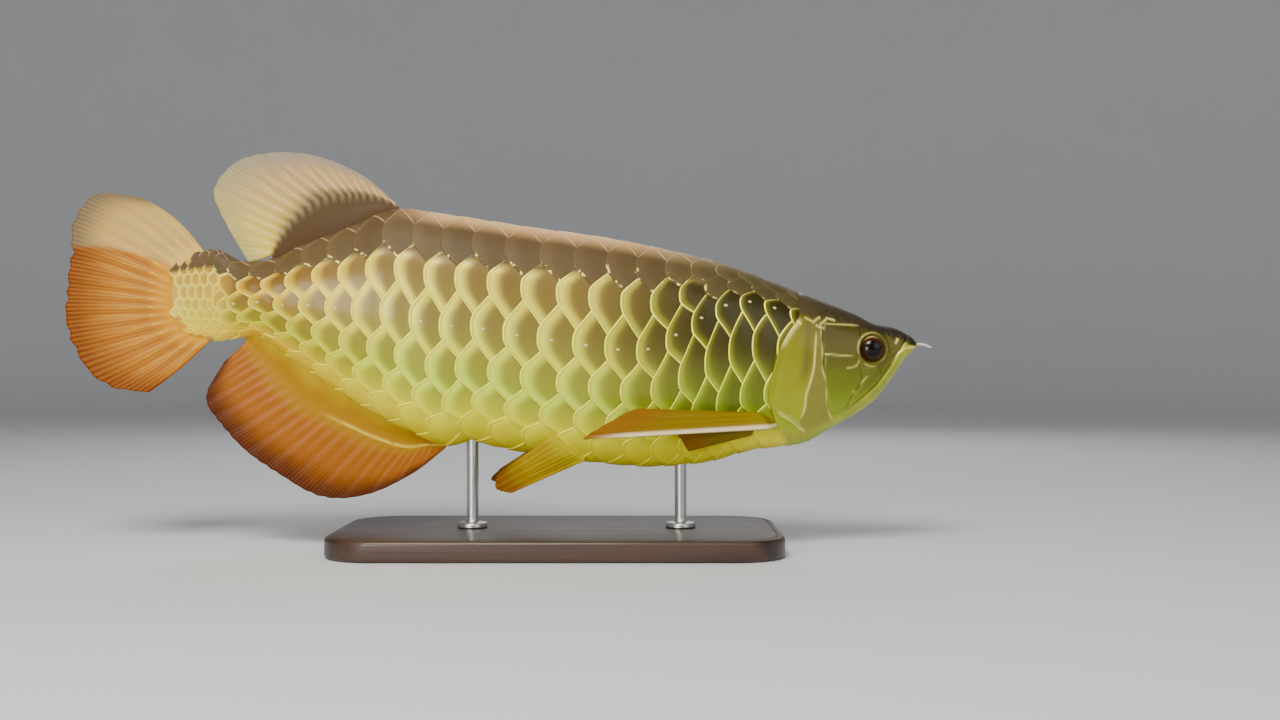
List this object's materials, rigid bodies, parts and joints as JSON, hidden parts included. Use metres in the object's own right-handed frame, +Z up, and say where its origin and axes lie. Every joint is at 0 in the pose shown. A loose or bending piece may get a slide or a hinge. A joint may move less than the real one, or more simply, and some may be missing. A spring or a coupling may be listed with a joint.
{
  "type": "asian arowana",
  "caption": "Life-size asian arowana as a still museum model, large scales and full fins, held on a plain stand with rods.",
  "frame": {"origin": "on the table under the middle of the model's bounding box, at the underside of the stand", "axes": "+X runs from the tail to the head, +Z is up, +Y is the fish's left side"},
  "size_m": [0.512, 0.14, 0.234],
  "materials": {
    "head_skin": "satin olive-gold bone plates with a metallic sheen, darker on top",
    "scales": "satin scales, olive-brown centres with bright gold rims, yellow-green on the belly",
    "dorsal_fin": "dark fleshy base, yellow-beige rays and pale margin",
    "orange_fin": "orange membrane with pale gold rays and a redder margin",
    "pectoral_fin": "amber membrane with a cream leading ray",
    "eye": "glossy dark brown iris and black pupil",
    "barbel": "pale grey-white",
    "stand_wood": "dark satin wood",
    "stand_steel": "brushed steel"
  },
  "bodies": {
    "root": {"head": "head_skin", "lower_jaw": "head_skin", "torso": "scales", "tail_stalk": "scales", "dorsal_fin": "dorsal_fin", "anal_fin": "orange_fin", "caudal_fin": "orange_fin", "pectoral_fin_left": "pectoral_fin", "pectoral_fin_right": "pectoral_fin", "pelvic_fin_left": "orange_fin", "pelvic_fin_right": "orange_fin", "eye_left": "eye", "eye_right": "eye", "barbel_left": "barbel", "barbel_right": "barbel", "stand_base": "stand_wood", "stand_rod_front": "stand_steel", "stand_rod_rear": "stand_steel"}
  },
  "joints": []
}
